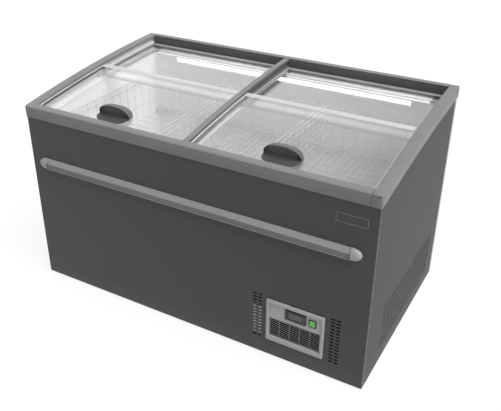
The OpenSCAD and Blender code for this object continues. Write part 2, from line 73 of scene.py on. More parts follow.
CAB_W = span("front_panel")[0][1]
CAB_D = span("back_panel")[1][1]
SHEET = span("front_panel")[1][1]
LIP = -span("rim_front")[1][0]
CREST = joint_point("front_lid_left_slide")
TRACK_R = 6400.0
RAIL_IN = span("rim_left")[0][1]
RIM_Y = (span("rim_front")[1][1], span("rim_back")[1][0])
DIVIDER_X = span("centre_divider")[0]
TUB_X = (60.0, 1395.0)
TUB_Y = (60.0, 776.0)
TUB_FLOOR, STEP_X, STEP_Z = 118.0, 870.0, 326.0

RIM_H, LEDGE_DROP, FOAM_DROP = 43.0, 57.0, 60.0
SLOTS = ((12.0, 30.0), (37.0, 54.0))
SLOT_DEPTH = 8.0
STRIP_W = 8.0
CURVE_STEP = 40.0
FRONT_STRIP, REAR_STRIP = (13.5, 29.5), (38.0, 53.5)
FRONT_GLASS, REAR_GLASS = (16.0, 21.0), (41.0, 46.0)


def curve(y, drop=0.0):
    """Height of the curved top at y, less drop square to it."""
    return CREST.z + math.sqrt((TRACK_R - drop) ** 2 - (y - CREST.y) ** 2)


def steps(a, b, longest):
    """Even steps from a to b, none longer than longest."""
    count = max(1, math.ceil((b - a) / longest))
    return [a + (b - a) * i / count for i in range(count + 1)]


def inset(pair, by):
    """A (low, high) pair drawn in at both ends."""
    return pair[0] + by, pair[1] - by


# -------- mesh tools

def loft(rings, caps=True, loop=False):
    """A skin over rings of the same number of points."""
    bm = bmesh.new()
    made = [[bm.verts.new(p) for p in ring] for ring in rings]
    count = len(rings[0])
    pairs = list(zip(made, made[1:]))
    if loop:
        pairs.append((made[-1], made[0]))
    for a, b in pairs:
        for i in range(count):
            j = (i + 1) % count
            bm.faces.new((a[i], a[j], b[j], b[i]))
    if caps and not loop:
        bm.faces.new(made[0])
        bm.faces.new(made[-1])
    bmesh.ops.remove_doubles(bm, verts=bm.verts, dist=1e-4)
    bmesh.ops.dissolve_degenerate(bm, edges=bm.edges, dist=1e-4)
    bmesh.ops.recalc_face_normals(bm, faces=bm.faces)
    return bm


def soften(bm, width, segments=2, sharp=30, where=None):
    """Rounds the edges that turn by more than sharp degrees, where where(middle) holds."""
    edges = [
        e for e in bm.edges
        if len(e.link_faces) == 2 and e.calc_face_angle(0) > math.radians(sharp)
        and (where is None or where((e.verts[0].co + e.verts[1].co) / 2))
    ]
    bmesh.ops.bevel(bm, geom=edges, offset=width, segments=segments, profile=0.5,
                    affect="EDGES", clamp_overlap=True)
    return bm


def block(x, y, z, edge=0.0, segments=2):
    bm = prism(2, [(x[0], y[0]), (x[1], y[0]), (x[1], y[1]), (x[0], y[1])], *z)
    return soften(bm, edge, segments) if edge else bm


def prism(axis, outline, low, high):
    """An outline drawn out along axis 0, 1 or 2; its points give the other two, in order."""
    return loft([[(*p[:axis], end, *p[axis:]) for p in outline] for end in (low, high)])


def rail(outline, y0, y1, edge=0.0):
    """An outline of (x, drop) points that follows the curved top from y0 to y1."""
    bm = loft([[(x, y, curve(y, d)) for x, d in outline] for y in steps(y0, y1, CURVE_STEP)])
    return soften(bm, edge) if edge else bm


def strip(x, y, drops, edge=0.0):
    """A straight-sided strip that follows the curved top."""
    outline = [(x[0], drops[0]), (x[1], drops[0]), (x[1], drops[1]), (x[0], drops[1])]
    return rail(outline, y[0], y[1], edge)


def cross_bar(outline, x0, x1, edge=0.0):
    """An outline of (y, drop) points drawn out along X."""
    bm = prism(0, [(y, curve(y, d)) for y, d in outline], x0, x1)
    return soften(bm, edge) if edge else bm


def arc(cx, cy, r, start, end, count):
    """Points on an arc, with its angles in degrees."""
    angles = [math.radians(start + (end - start) * i / count) for i in range(count + 1)]
    return [(cx + r * math.cos(a), cy + r * math.sin(a)) for a in angles]


def rounded_rect(x, z, r, count=4):
    """A rectangle with round corners, anticlockwise."""
    (x0, x1), (z0, z1) = x, z
    return (arc(x1 - r, z0 + r, r, -90, 0, count) + arc(x1 - r, z1 - r, r, 0, 90, count)
            + arc(x0 + r, z1 - r, r, 90, 180, count) + arc(x0 + r, z0 + r, r, 180, 270, count))


def turned(profile, centre, count):
    """A profile of (radius, depth) points turned about a line along Y through centre."""
    x, y, z = centre
    angles = [2 * math.pi * i / count for i in range(count)]
    return loft([[(x + r * math.cos(a), y + d, z + r * math.sin(a)) for a in angles]
                 for r, d in profile])


def moved(bm, matrix):
    """Moves bm and gives it back."""
    bmesh.ops.transform(bm, verts=bm.verts, matrix=matrix)
    return bm


def cut(bm, point, normal):
    """Adds edges where a plane crosses the faces."""
    bmesh.ops.bisect_plane(bm, geom=bm.verts[:] + bm.edges[:] + bm.faces[:],
                           plane_co=point, plane_no=normal)


def tube(points, radius, sides=8, closed=False):
    """A round wire along points."""
    points = [Vector(p) for p in points]
    last = len(points) - 1
    rings, side = [], None
    for i, p in enumerate(points):
        before = points[i - 1] if i or closed else p
        after = points[(i + 1) % len(points)] if i < last or closed else p
        along = (after - before).normalized()
        if side is None:
            side = along.orthogonal().normalized()
        side = (side - along * side.dot(along)).normalized()
        up = along.cross(side)
        rings.append([
            p + (side * math.cos(a) + up * math.sin(a)) * radius
            for a in (2 * math.pi * k / sides for k in range(sides))
        ])
    return loft(rings, loop=closed)


def plate(outlines, thickness):
    """A flat sheet from z = 0 to thickness; the first outline is its edge, the rest are holes."""
    data = bpy.data.curves.new("outline", "CURVE")
    data.dimensions = "2D"
    data.fill_mode = "BOTH"
    data.extrude = thickness / 2
    for outline in outlines:
        spline = data.splines.new("POLY")
        spline.points.add(len(outline) - 1)
        spline.use_cyclic_u = True
        for point, (u, v) in zip(spline.points, outline):
            point.co = (u, v, 0, 1)
    drawn = bpy.data.objects.new("outline", data)
    mesh = bpy.data.meshes.new_from_object(drawn)
    bm = bmesh.new()
    bm.from_mesh(mesh)
    bmesh.ops.translate(bm, verts=bm.verts, vec=(0, 0, thickness / 2))
    bmesh.ops.remove_doubles(bm, verts=bm.verts, dist=1e-3)
    bmesh.ops.recalc_face_normals(bm, faces=bm.faces)
    bpy.data.objects.remove(drawn)
    bpy.data.curves.remove(data)
    bpy.data.meshes.remove(mesh)
    return bm


def front_plate(outlines, y0, y1):
    """A sheet of (x, z) outlines that faces the front, from y0 back to y1."""
    turn = Matrix(((1, 0, 0, 0), (0, 0, -1, y1), (0, 1, 0, 0), (0, 0, 0, 1)))
    return moved(plate(outlines, y1 - y0), turn)


def side_plate(outlines, x0, x1):
    """A sheet of (y, z) outlines that faces the side, from x0 to x1."""
    turn = Matrix(((0, 0, 1, x0), (1, 0, 0, 0), (0, 1, 0, 0), (0, 0, 0, 1)))
    return moved(plate(outlines, x1 - x0), turn)


def add_object(name, data):
    obj = bpy.data.objects.new(name, data)
    bpy.context.scene.collection.objects.link(obj)
    return obj


def piece(name, materials, parts, replaces=(), smooth=32, body="cabinet"):
    """Joins parts into one object that rides on a body. A part may be (bmesh, material index)."""
    joined = bmesh.new()
    for part in parts:
        bm, index = part if isinstance(part, tuple) else (part, None)
        if index is not None:
            for face in bm.faces:
                face.material_index = index
        mesh = bpy.data.meshes.new("part")
        bm.to_mesh(mesh)
        joined.from_mesh(mesh)
        bm.free()
        bpy.data.meshes.remove(mesh)
    bmesh.ops.scale(joined, verts=joined.verts, vec=(MM, MM, MM))
    bmesh.ops.translate(joined, verts=joined.verts, vec=ORIGIN)
    mesh = bpy.data.meshes.new(name)
    joined.to_mesh(mesh)
    joined.free()
    mesh.shade_smooth()
    mesh.set_sharp_from_angle(angle=math.radians(smooth))
    for material in materials if isinstance(materials, (list, tuple)) else [materials]:
        mesh.materials.append(material)
    obj = add_object(name, mesh)
    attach(obj, body)
    if replaces:
        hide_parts(*replaces)


# -------- materials

class Tree:
    """Short calls for a material's nodes. Coordinates are the piece's own, in metres."""

    def __init__(self, name):
        self.material = bpy.data.materials.new(name)
        self.material.use_nodes = True
        self.nodes = self.material.node_tree.nodes
        self.links = self.material.node_tree.links
        self.shader = self.nodes["Principled BSDF"]
        self.output = self.nodes["Material Output"]
        self.place = self.nodes.new("ShaderNodeTexCoord").outputs["Object"]

    def node(self, kind, inputs=None, **settings):
        made = self.nodes.new("ShaderNode" + kind)
        for key, value in settings.items():
            setattr(made, key, value)
        for key, value in (inputs or {}).items():
            if isinstance(value, bpy.types.NodeSocket):
                self.links.new(value, made.inputs[key])
            else:
                made.inputs[key].default_value = value
        return made

    def noise(self, scale, detail=2.0, rough=0.5, stretch=(1, 1, 1)):
        moved = self.node("Mapping", {"Vector": self.place, "Scale": stretch}).outputs[0]
        return self.node("TexNoise", {"Vector": moved, "Scale": scale, "Detail": detail,
                                      "Roughness": rough}).outputs["Fac"]

    def ramp(self, value, low, high, a, b):
        """value from low to high becomes a to b."""
        return self.node("MapRange", {"Value": value, "From Min": low, "From Max": high,
                                      "To Min": a, "To Max": b}).outputs["Result"]

    def cloud(self, scale, detail, a, b, low=0.3, high=0.7, **settings):
        """Noise from low to high becomes a to b."""
        return self.ramp(self.noise(scale, detail, **settings), low, high, a, b)

    def tint(self, value, dark, light):
        """A colour between dark and light, by value from 0 to 1."""
        mix = self.node("Mix", {0: value}, data_type="RGBA")
        for index, colour in ((6, dark), (7, light)):
            if isinstance(colour, bpy.types.NodeSocket):
                self.links.new(colour, mix.inputs[index])
            else:
                mix.inputs[index].default_value = (*colour, 1)
        return mix.outputs[2]

    def math(self, operation, a, b):
        return self.node("Math", {0: a, 1: b}, operation=operation).outputs[0]

    def bump(self, height, strength, distance):
        inputs = {"Height": height, "Strength": strength, "Distance": distance}
        return self.node("Bump", inputs).outputs["Normal"]

    def set(self, **sockets):
        names = {"color": "Base Color", "rough": "Roughness", "metal": "Metallic",
                 "normal": "Normal", "coat": "Coat Weight", "specular": "Specular IOR Level",
                 "glow": "Emission Color", "glow_power": "Emission Strength"}
        for key, value in sockets.items():
            socket = self.shader.inputs[names[key]]
            if isinstance(value, bpy.types.NodeSocket):
                self.links.new(value, socket)
            elif isinstance(value, tuple):
                socket.default_value = (*value, 1)
            else:
                socket.default_value = value
        return self.material


def scaled(colour, k):
    return tuple(min(1.0, c * k) for c in colour)


def grey(tone, blue=None):
    return (tone, tone, blue or tone)


def painted(name, colour, rough=0.42, peel=0.08, shine=0.25):
    """Powder coat on steel: fine orange peel, faint clouds, a breath of dust near the floor."""
    t = Tree(name)
    clouds = t.cloud(2.2, 2, 0.42, 0.58)
    speckle = t.cloud(1400, 1, 0.0, 1.0)
    mixed = t.math("MULTIPLY", t.math("ADD", clouds, speckle), 0.5)
    base = t.tint(mixed, scaled(colour, 0.95), scaled(colour, 1.05))
    height = t.node("SeparateXYZ", {0: t.place}).outputs[2]
    dust = t.math("MULTIPLY", t.ramp(height, 0.012, 0.09, 0.10, 0.0), t.noise(24, 5))
    peel_height = t.math("ADD", t.noise(520, 2), t.math("MULTIPLY", t.noise(1600, 1), 0.4))
    return t.set(
        color=t.tint(dust, base, (0.34, 0.33, 0.31)),
        rough=t.cloud(60, 3, rough - 0.015, rough + 0.015),
        specular=shine,
        normal=t.bump(peel_height, peel, 0.0003),
    )


def moulded(name, colour, rough=0.5, grain=0.18, glow=None, shine=0.35):
    """Moulded plastic with a spark-eroded grain and faint flow marks."""
    t = Tree(name)
    flow = t.cloud(14, 3, 0.0, 1.0, 0.35, 0.65, stretch=(0.25, 1, 1))
    pits = t.node("TexVoronoi", {"Vector": t.place, "Scale": 1500}).outputs["Distance"]
    if glow:
        t.set(glow=glow[0], glow_power=glow[1])
    return t.set(
        color=t.tint(flow, scaled(colour, 0.96), scaled(colour, 1.04)),
        rough=t.cloud(30, 4, rough - 0.05, rough + 0.05),
        specular=shine,
        normal=t.bump(t.math("ADD", pits, t.noise(800, 2)), grain, 0.00025),
    )


def galvanised(name, colour):
    """Zinc-coated sheet with its spangle of crystals."""
    t = Tree(name)
    jitter = t.node("TexNoise", {"Vector": t.place, "Scale": 90.0}).outputs["Color"]
    warped = t.node("Mix", {0: 0.012, 4: t.place, 5: jitter}, data_type="VECTOR").outputs[1]
    cells = t.node("TexVoronoi", {"Vector": warped, "Scale": 70}).outputs["Color"]
    tone = t.node("SeparateColor", {0: cells}).outputs[0]
    return t.set(
        color=t.tint(tone, scaled(colour, 0.86), scaled(colour, 1.1)),
        rough=t.ramp(tone, 0.0, 1.0, 0.32, 0.54),
        metal=0.85,
        normal=t.bump(t.noise(240, 3), 0.08, 0.0004),
    )


def metal(name, colour, rough, lines=(1, 1, 1), tarnish=0.15):
    """Bare metal, drawn or brushed along the direction where lines is small."""
    t = Tree(name)
    brushed = t.noise(300, 4, stretch=lines)
    stain = t.cloud(18, 5, 0.0, 1.0, 0.4)
    return t.set(
        color=t.tint(stain, colour, scaled(colour, 1 - tarnish)),
        rough=t.ramp(brushed, 0.3, 0.7, rough - 0.08, rough + 0.1),
        metal=1.0,
        normal=t.bump(brushed, 0.12, 0.0003),
    )


def wire_coat(name, colour):
    """Thick polyethylene coat on a wire: soft gloss, slightly uneven."""
    t = Tree(name)
    uneven = t.noise(110, 3)
    return t.set(
        color=t.tint(t.ramp(uneven, 0.3, 0.7, 0.0, 1.0), scaled(colour, 0.96), colour),
        rough=t.cloud(50, 3, 0.26, 0.36),
        normal=t.bump(uneven, 0.12, 0.0006),
        coat=0.3,
    )


def embossed_white(name, colour):
    """White-coated aluminium with the fine stucco of a tub liner."""
    t = Tree(name)
    stucco = t.node("TexVoronoi", {"Vector": t.place, "Scale": 230.0},
                    feature="SMOOTH_F1").outputs["Distance"]
    clouds = t.cloud(5, 4, 0.0, 1.0, 0.35, 0.65)
    return t.set(
        color=t.tint(clouds, scaled(colour, 0.97), colour),
        rough=t.cloud(20, 3, 0.30, 0.40),
        normal=t.bump(stucco, 0.07, 0.0008),
    )


def pane_glass(name, tint, gloss):
    """Thin glass: see-through with a tint, mirrors at low angles, faint smears."""
    t = Tree(name)
    clear = t.node("BsdfTransparent", {"Color": (*tint, 1)}).outputs[0]
    smears = t.cloud(7, 6, 0.02, 0.07, 0.35, rough=0.6)
    mirror = t.node("BsdfGlossy", {"Color": (1, 1, 1, 1), "Roughness": smears}).outputs[0]
    facing = t.node("LayerWeight", {"Blend": 0.5}).outputs["Facing"]
    share = t.math("ADD", t.math("MULTIPLY", t.math("POWER", facing, 2.0), gloss), 0.03)
    mixed = t.node("MixShader", {0: share, 1: clear, 2: mirror}).outputs[0]
    t.links.new(mixed, t.output.inputs["Surface"])
    return t.material


def glass_edge(name, colour):
    """The ground edge of a glass pane."""
    t = Tree(name)
    return t.set(color=t.tint(t.noise(300, 2), scaled(colour, 0.8), colour), rough=0.35,
                 normal=t.bump(t.noise(900, 2), 0.2, 0.0003))


def lamp(name, power):
    """Frosted diffuser, brighter in front of each lamp chip."""
    t = Tree(name)
    chip_pitch = 0.0165
    along = t.node("SeparateXYZ", {0: t.place}).outputs[0]
    wave = t.math("SINE", t.math("MULTIPLY", along, 2 * math.pi / chip_pitch), 0.0)
    bright = t.ramp(wave, -1.0, 1.0, 0.0, 1.0)
    return t.set(color=t.tint(bright, (0.86, 0.87, 0.88), (0.97, 0.97, 0.97)), rough=0.45,
                 glow=(1.0, 1.0, 0.98), glow_power=power)


def rubbery(name, colour, shine=0.3):
    t = Tree(name)
    return t.set(specular=shine,
                 color=t.tint(t.noise(60, 4), scaled(colour, 0.8), scaled(colour, 1.5)),
                 rough=t.cloud(90, 3, 0.72, 0.9),
                 normal=t.bump(t.noise(700, 3), 0.3, 0.0004))


def foamed(name, colour):
    t = Tree(name)
    cells = t.node("TexVoronoi", {"Vector": t.place, "Scale": 420.0}).outputs["Distance"]
    return t.set(color=t.tint(t.noise(8, 4), scaled(colour, 0.85), colour), rough=0.95,
                 normal=t.bump(cells, 0.6, 0.0015))


PANEL = grey(0.0465, 0.0473)

front_paint = painted("front_paint", PANEL)
# The sides take the front paint a touch darker, as painted shade, and less glossy.
side_paint_shaded = painted("side_paint_shaded", scaled(PANEL, 0.96), rough=0.5, shine=0.08)
rim_plastic = moulded("rim_plastic", grey(0.141, 0.143), rough=0.48, shine=0.3)
guide_dark = moulded("guide_dark", grey(0.080, 0.081), rough=0.5, shine=0.2)
# A lighter copy of the guide plastic, painted light, for the side rails' inner faces; it also paints
# shade into the rails' outer grooves.
guide_side_lit_groove_shade = moulded("guide_side_lit_groove_shade", grey(0.13, 0.132), rough=0.5, shine=0.2)
# A still lighter copy of the guide plastic, painted light on guide faces deep under the lids where they
# sit in shade.
guide_deep_lit = moulded("guide_deep_lit", grey(0.40), rough=0.5, shine=0.3)
zinc = galvanised("zinc", (0.42, 0.425, 0.435))
steel_parts = metal("steel_parts", (0.52, 0.53, 0.55), 0.38)
foam = foamed("foam", (0.86, 0.76, 0.5))
liner_paint = embossed_white("liner_paint", grey(0.62, 0.615))
# A darker copy of the liner white for the shelves: painted shade.
shelf_shaded = moulded("shelf_shaded", grey(0.30, 0.298), rough=0.5)
ledge_plastic = moulded("ledge_plastic", grey(0.48), rough=0.4)
# White plastic that glows faintly though it is no lamp: painted light.
canopy_glow_white = moulded("canopy_glow_white", grey(0.74), rough=0.35, grain=0.05,
                       glow=((1.0, 1.0, 0.99), 0.12))
copper_pipe = metal("copper_pipe", (0.72, 0.36, 0.22), 0.3, tarnish=0.45)
lid_glass = pane_glass("lid_glass", (0.985, 0.988, 0.986), 0.5)
lid_glass_edge = glass_edge("lid_glass_edge", (0.50, 0.53, 0.52))
clear_trim = pane_glass("clear_trim", (0.95, 0.955, 0.95), 0.35)
trim_white = moulded("trim_white", grey(0.37), rough=0.35, grain=0.06)
# A lighter copy of the front lid's white trim for its front bar and runners: painted light where they
# sit in shade.
trim_lit = moulded("trim_lit", grey(0.42), rough=0.4)
trim_dim = moulded("trim_dim", grey(0.24), rough=0.4)
handle_plastic = moulded("handle_plastic", grey(0.084, 0.086), rough=0.4, grain=0.25)
# A lighter copy of the hood plastic for the wall inside its mouth: painted light in the shade there.
handle_inner_lit = moulded("handle_inner_lit", grey(0.20, 0.202), rough=0.5, grain=0.25)
handle_lip = moulded("handle_lip", grey(0.046, 0.047), rough=0.5, grain=0.6, shine=0.15)
bare_aluminium = metal("bare_aluminium", (0.84, 0.85, 0.86), 0.32, lines=(0.02, 1, 1), tarnish=0.06)
lamp_glow = lamp("lamp_glow", 2.2)
wire_white = wire_coat("wire_white", grey(0.32, 0.318))
bumper_grey = moulded("bumper_grey", grey(0.225, 0.227), rough=0.42)
# A darker copy of the bumper grey for its recessed channel: painted shade.
bumper_groove_shade = moulded("bumper_groove_shade", grey(0.165, 0.167), rough=0.5)
bumper_light = moulded("bumper_light", grey(0.27, 0.272), rough=0.38)
plate_dark = moulded("plate_dark", grey(0.035, 0.037), rough=0.22, grain=0.05)
bezel_grey = moulded("bezel_grey", grey(0.295), rough=0.45)
bezel_dim = moulded("bezel_dim", grey(0.13, 0.132), rough=0.4)
plate_grey = moulded("plate_grey", grey(0.33), rough=0.5)
louvre_grey = moulded("louvre_grey", grey(0.14, 0.141), rough=0.45)
# Near-black with almost no gloss, put behind the vents and the louvre where the bay shows only shade:
# painted shade.
shade_black = rubbery("shade_black", grey(0.004), 0.02)
black_plastic = moulded("black_plastic", grey(0.018, 0.019), rough=0.42)
window_tint = moulded("window_tint", (0.075, 0.082, 0.08), rough=0.12, grain=0.0)
rocker_green = moulded("rocker_green", (0.12, 0.36, 0.095), rough=0.22, grain=0.04,
                       glow=((0.20, 0.75, 0.16), 0.04))
enamel_black = painted("enamel_black", grey(0.022, 0.023), rough=0.3, peel=0.2)
rubber = rubbery("rubber", grey(0.02, 0.021))
nylon = moulded("nylon", grey(0.05, 0.052), rough=0.5)


# -------- cabinet skin

FOLD_R, FRONT_RETURN, BACK_RETURN = 3.0, 14.0, 24.0
SEAM = 0.8
PANEL_DROP = 20.0
FLANGE = 18.0


def fold(x, y, side, depth):
    """Outline of a folded vertical corner at (x, y): a round corner and a return on the side.
    side is +1 on the left and -1 on the right; depth is positive towards the back."""
    way = 1 if depth > 0 else -1
    outer = arc(0, 0, FOLD_R, 180, 270, 5)
    inner = arc(0, 0, FOLD_R - SHEET, 270, 180, 5)
    points = outer + inner
    points.append((-FOLD_R + SHEET, abs(depth) - FOLD_R))
    points.append((-FOLD_R, abs(depth) - FOLD_R))
    return [(x + side * (FOLD_R + a), y + way * (FOLD_R + b)) for a, b in points]


def vent_holes(columns, slot, z, rows):
    """Rows of round-ended slots of (width, height); z is the (lowest, highest) edge."""
    wide, high = slot
    pitch = (z[1] - z[0] - high) / (rows - 1)
    edges = [z[0] + i * pitch for i in range(rows)]
    return [rounded_rect((x, x + wide), (low, low + high), high / 2 - 0.01, 3)
            for x in columns for low in edges]


SIDE_SLOT, SIDE_VENT_Z, SIDE_ROWS = (36.0, 6.0), (60.0, 248.0), 13
SIDE_VENTS = [165.0 + i * 44 for i in range(13)]
BACK_VENTS = [980.0 + i * 48 for i in range(8)]
FRONT_SLOT, FRONT_VENT_Z, FRONT_ROWS = (17.0, 6.5), (70.0, 263.0), 14
FRONT_VENTS = (1018.0, 1039.0, 1322.0, 1343.0)


def folded_sheet(face, way, fold_back, holes):
    """A front or back sheet with holes, folded corners and a flange below. Its outside is at
    y = face; way is +1 or -1, towards the cabinet's inside."""
    top = curve(face, PANEL_DROP)
    x0, x1 = inset((0, CAB_W), FOLD_R)
    inner = face + way * SHEET
    edge = [(x0, 0), (x1, 0), (x1, top), (x0, top)]
    parts = [front_plate([edge] + holes, *sorted((face, inner)))]
    for x, side in ((0, 1), (CAB_W, -1)):
        parts.append(prism(2, fold(x, face, side, way * fold_back), 0, top))
    parts.append(block((x0, x1), sorted((inner, face + way * FLANGE)), (0, SHEET)))
    return parts


def front_panel():
    """The front sheet, open where the bezel covers it."""
    x, _, (z0, z1) = span("control_bezel")
    beside, below, above = 17, 27, 19
    (left, right), low, high = inset(x, beside), z0 + below, z1 - above
    opening = [(left, low), (right, low), (right, high), (left, high)]
    vents = vent_holes(FRONT_VENTS, FRONT_SLOT, FRONT_VENT_Z, FRONT_ROWS)
    parts = folded_sheet(0, 1, FRONT_RETURN, [opening] + vents)
    piece("front_skin", front_paint, parts, ["front_panel"])


def side_edge():
    """Outline of a side sheet between the folded corners, as (y, z)."""
    y0, y1 = FRONT_RETURN + SEAM, CAB_D - BACK_RETURN - SEAM
    return [(y1, 0), (y0, 0)] + [(y, curve(y, PANEL_DROP)) for y in steps(y0, y1, 60)]


def side_panels():
    holes = vent_holes(SIDE_VENTS, SIDE_SLOT, SIDE_VENT_Z, SIDE_ROWS)
    left = [side_plate([side_edge()], 0, SHEET)]
    right = [side_plate([side_edge()] + holes, CAB_W - SHEET, CAB_W)]
    piece("side_skin_left", side_paint_shaded, left, ["left_side_panel"])
    piece("side_skin_right", side_paint_shaded, right, ["right_side_panel"])


def screw(x, z):
    """A pan head with a drive recess, on the back panel."""
    r = 4.2
    profile = [(0.01, 0.6), (r * 0.34, 0.6), (r * 0.40, 1.5), (r * 0.6, 1.45), (r * 0.85, 1.1),
               (r, 0.35), (r, 0.0), (0.01, 0.0)]
    return turned(profile, (x, CAB_D, z), 20)


def back_panel():
    holes = vent_holes(BACK_VENTS, SIDE_SLOT, SIDE_VENT_Z, SIDE_ROWS)
    cord_hole = arc(1405, 110, 9, 0, 345, 23)
    parts = folded_sheet(CAB_D, -1, BACK_RETURN, holes + [cord_hole])
    piece("back_skin", zinc, parts, ["back_panel"])
    ends, bay_edge = inset((0, CAB_W), 24), 958
    rows = (22, curve(CAB_D, PANEL_DROP) - 40)
    spots = [(x, z) for x in steps(*ends, 240) for z in rows]
    spots += [(x, z) for x in ends for z in (230, 440, 650)]
    spots += [(bay_edge, z) for z in (60, 154, 248)]
    screws = [screw(x, z) for x, z in spots]
    piece("back_screws", steel_parts, screws)


# -------- rims

END_R = 7.0
GROOVE = ((3.4, 8.6), 3.0)


def slot_points(face, back):
    """The (x, drop) points of the two lid slots, down a guide's face."""
    return [(x, slot[i]) for slot in SLOTS for x, i in ((face, 0), (back, 0), (back, 1), (face, 1))]


def side_rail_rings():
    """Sections of the left rail: closed round ends, lid slots between the end blocks."""
    rings = []
    y0, y1 = -LIP, CAB_D + LIP
    tips = [0, 0.3, 1.1, 2.4, 4.2, END_R]
    ends = [end for t in tips for end in (y0 + t, y1 - t)]
    jumps = [SHEET, SHEET + 0.02, CAB_D - SHEET - 0.02, CAB_D - SHEET, RIM_Y[0] - 0.02, RIM_Y[1] + 0.02]
    stations = sorted([(y, False) for y in ends + jumps]
                      + [(y, True) for y in steps(*RIM_Y, CURVE_STEP)])
    (g0, g1), groove = GROOVE
    for y, slotted in stations:
        near = min(y - y0, y1 - y, END_R)
        taper = END_R - math.sqrt(max(0.0, END_R ** 2 - (END_R - near) ** 2))
        top = taper * 0.5
        x0 = -LIP + taper
        back = RAIL_IN - SLOT_DEPTH if slotted else RAIL_IN
        low = LEDGE_DROP if SHEET < y < CAB_D - SHEET else RIM_H
        outline = [
            (x0, RIM_H), (x0, g1), (x0 + groove, g1 - 0.8), (x0 + groove, g0 + 0.8), (x0, g0),
            (x0, top + 2.0), (x0 + 0.6, top + 0.6), (x0 + 2.0, top),
            (RAIL_IN - 1.6, top), (RAIL_IN - 0.5, top + 0.5), (RAIL_IN, top + 1.6),
            *slot_points(RAIL_IN, back),
            (RAIL_IN, LEDGE_DROP), (RAIL_IN - 11, LEDGE_DROP), (RAIL_IN - 11, RIM_H),
        ]
        rings.append([(x, y, curve(y, min(d, low))) for x, d in outline])
    return rings


def shade_rail(bm, inner_faces, dark_to=99.0):
    """Gives the faces for which inner_faces(middle, drop) holds material 1 above dark_to and material 2
    below it, a lighter copy painted light for the shade deep under the lids.
    """
    for face in bm.faces:
        middle = face.calc_center_median()
        drop = curve(middle.y) - middle.z
        if inner_faces(middle, drop):
            face.material_index = 1 if drop < dark_to else 2
    return bm


def rims():
    left = side_rail_rings()
    right = [[(CAB_W - x, y, z) for x, y, z in ring] for ring in left]
    finishes = [rim_plastic, guide_side_lit_groove_shade, guide_deep_lit]
    (g0, g1), groove = GROOVE
    for side, rings, way in (("left", left, 1), ("right", right, -1)):
        def shaded(m, drop):
            """True for the guide's side and for the bottom of the groove outside, where the groove
            takes painted shade.
            """
            x = m.x if way > 0 else CAB_W - m.x
            if x < 0:
                return g0 < drop < g1 and abs(x + LIP - groove) < 1
            return RIM_Y[0] < m.y < RIM_Y[1] and drop > 1.5 and x > RAIL_IN - SLOT_DEPTH - 1
        bar = shade_rail(loft(rings), shaded, SLOTS[0][0] + 1)
        piece(f"side_rail_{side}", finishes, [bar], [f"rim_{side}"], 40)
    for name, node, outer, inner, way in (
        ("cross_rail_front", "rim_front", -LIP, RIM_Y[0], 1),
        ("cross_rail_back", "rim_back", CAB_D + LIP, RIM_Y[1], -1),
    ):
        outline = [
            (outer, RIM_H), (outer, 2.4), (outer + 0.7 * way, 0.7), (outer + 2.4 * way, 0),
            (inner - 1.6 * way, 0), (inner - 0.5 * way, 0.5), (inner, 1.6),
            (inner, LEDGE_DROP), (inner - 6 * way, LEDGE_DROP), (inner - 6 * way, RIM_H),
        ]
        bar = cross_bar(outline, RAIL_IN + SEAM * 1.5, CAB_W - RAIL_IN - SEAM * 1.5)
        # Below the rear lid's strip the inner face takes the lighter guide copy: painted light.
        cut(bar, (0, 0, curve(inner, REAR_STRIP[0])), (0, 0, 1))
        shade_rail(bar, lambda m, drop: drop > 1.5 and abs(m.y - inner) < 0.1, REAR_STRIP[0])
        piece(name, [rim_plastic, guide_dark, guide_deep_lit], [bar], [node], 40)


def divider():
    x0, x1 = DIVIDER_X
    half = [(x1 - 2.2, 2.0), (x1 - 0.7, 2.6), (x1, 4.0), *slot_points(x1, x1 - SLOT_DEPTH),
            (x1, LEDGE_DROP)]
    mirrored = [(x0 + x1 - x, d) for x, d in reversed(half)]
    # Below the rear lid's strip the divider's sides take the lighter guide copy: painted light.
    bar = shade_rail(rail(half + mirrored, *RIM_Y), lambda m, drop: drop > 3, REAR_STRIP[0])
    finishes = [rim_plastic, guide_dark, guide_deep_lit]
    piece("divider_bar", finishes, [bar], ["centre_divider"], 40)


# -------- lids

def glass_sheet(node, drops, under):
    """A curved pane with ground edges, seated under the bars' lips by under = (front, back).
    Material 0 is on its faces and 1 round its edge."""
    (x0, x1), (y0, y1), _ = span(node)
    bm = strip((x0, x1), (y0 - under[0], y1 + under[1]), drops)
    for face in bm.faces:
        face.material_index = 0 if abs(face.normal.z) > 0.7 else 1
    return bm


def edge_bar(y, way, width, foot, drops, glass_top):
    """Outline of a bar with a lip over the glass; it starts at y and goes the way given."""
    top, low = drops
    shape = [(0, top + 2.5), (0.7, top + 0.7), (2.5, top), (width * 0.7, top),
             (width, glass_top - 0.5), (width, glass_top - 0.1)]
    if foot:
        shape = [(0, low)] + shape + [(foot, glass_top - 0.1), (foot, low)]
    else:
        shape.append((0, glass_top - 0.1))
    return [(y + way * across, drop) for across, drop in shape]


def lid_bars(node, drops, glass_top, front_w, back_w, back_foot, slim):
    """What holds a lid's pane: (side runners, front bar, back bar)."""
    x, (y0, y1), _ = span(node)
    inner = inset(x, STRIP_W)
    drops = (drops[0], drops[1] - slim)
    sides = [strip(pair, (y0, y1), drops, 0.8) for pair in ((x[0], inner[0]), (inner[1], x[1]))]
    front = edge_bar(y0, 1, front_w, 4.0, drops, glass_top)
    back = edge_bar(y1, -1, back_w, back_foot, drops, glass_top)
    return sides, cross_bar(front, *inner), cross_bar(back, *inner)


